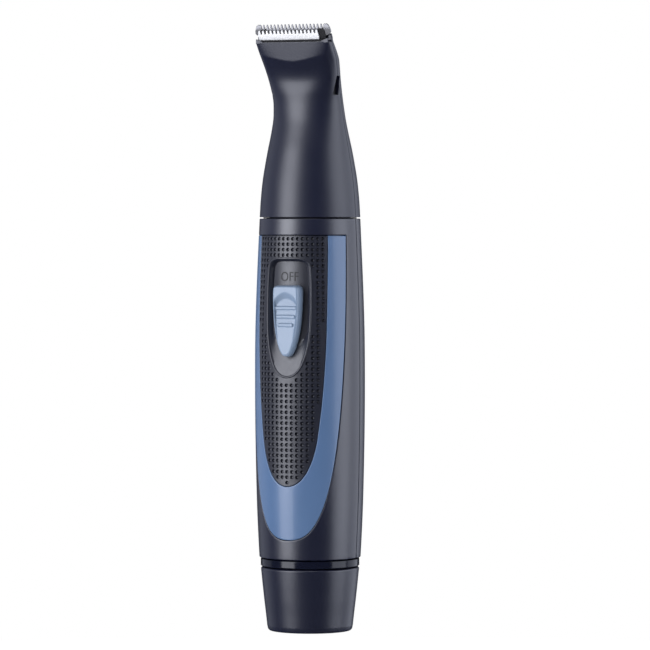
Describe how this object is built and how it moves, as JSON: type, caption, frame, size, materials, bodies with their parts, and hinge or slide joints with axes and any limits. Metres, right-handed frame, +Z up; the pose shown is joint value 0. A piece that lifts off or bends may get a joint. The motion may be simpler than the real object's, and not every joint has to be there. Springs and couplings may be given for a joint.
{
  "type": "body groomer",
  "caption": "Pen-shaped battery body groomer: slim round handle with a front slide switch, tapered pull-off head with a toothed blade, and a twist-off battery cap.",
  "frame": {"origin": "centre of the battery cap's flat bottom, the face that the groomer stands on", "axes": "+Z up along the handle towards the blade, -Y out of the front with the switch, +X to the right seen from the front"},
  "size_m": [0.0282, 0.029, 0.1545],
  "materials": {
    "navy_plastic": "satin",
    "blue_satin": "satin",
    "grip_rubber": "soft matte, dimpled",
    "black_gloss": "high gloss",
    "blue_button": "satin",
    "comb_steel": "ground",
    "cutter_steel": "polished",
    "black_plastic": "moulded",
    "white_plastic": "moulded",
    "spring_steel": "bright drawn",
    "nickel_contact": "plated strip",
    "motor_steel": "zinc plated",
    "seal_rubber": "matte",
    "battery_wrap": "printed film",
    "red_lead": "insulation",
    "black_lead": "insulation"
  },
  "bodies": {
    "handle": {"front_shell": "navy_plastic", "rear_shell": "navy_plastic", "trim_band": "blue_satin", "grip_panel": "grip_rubber", "cap_ring": "black_gloss", "head_spigot": "black_plastic", "neck_seal": "seal_rubber", "inner_frame": "white_plastic", "positive_contact": "nickel_contact", "negative_strip": "nickel_contact", "switch_contact": "nickel_contact", "detent_spring": "spring_steel", "motor_can": "motor_steel", "motor_end_cap": "white_plastic", "motor_bracket": "black_plastic", "motor_screw_1": "spring_steel", "motor_screw_2": "spring_steel", "lead_positive": "red_lead", "lead_negative": "black_lead"},
    "switch": {"switch_button": "blue_button", "switch_slider": "white_plastic", "switch_bridge": "nickel_contact"},
    "rotor": {"motor_shaft": "spring_steel", "eccentric_cam": "white_plastic"},
    "head": {"head_front_body": "navy_plastic", "head_rear_cover": "navy_plastic", "head_frame": "black_plastic", "lever_pin": "spring_steel", "fixed_comb": "comb_steel", "comb_screw_1": "spring_steel", "comb_screw_2": "spring_steel", "blade_spring": "spring_steel"},
    "lever": {"drive_lever": "white_plastic"},
    "cutter": {"moving_cutter": "cutter_steel", "cutter_carrier": "black_plastic"},
    "battery": {"battery": "battery_wrap"},
    "cap": {"end_cap": "navy_plastic", "cap_contact": "nickel_contact", "cap_spring": "spring_steel", "cap_seal": "seal_rubber"}
  },
  "joints": [
    {"name": "switch_slide", "type": "slide", "parent": "handle", "child": "switch", "axis": [0, 0, 1], "range_m": [0, 0.004]},
    {"name": "motor_spin", "type": "hinge", "parent": "handle", "child": "rotor", "pos_m": [0, 0, 0.099], "axis": [0, 0, 1], "continuous": true},
    {"name": "head_pull", "type": "slide", "parent": "handle", "child": "head", "axis": [0, 0, 1], "range_m": [0, 0.02]},
    {"name": "lever_rock", "type": "hinge", "parent": "head", "child": "lever", "pos_m": [0, 0, 0.13], "axis": [0, 1, 0], "range_deg": [0, 7.88]},
    {"name": "cutter_slide", "type": "slide", "parent": "head", "child": "cutter", "axis": [1, 0, 0], "range_m": [0, 0.0022]},
    {"name": "battery_slide", "type": "slide", "parent": "handle", "child": "battery", "axis": [0, 0, -1], "range_m": [0, 0.06]},
    {"name": "cap_twist", "type": "hinge", "parent": "battery", "child": "cap", "pos_m": [0, 0, 0.008], "axis": [0, 0, 1], "range_deg": [0, 45]}
  ],
  "couplings": [
    {"joint": "lever_rock", "follows": "cutter_slide", "rad_per_m": 62.5}
  ]
}
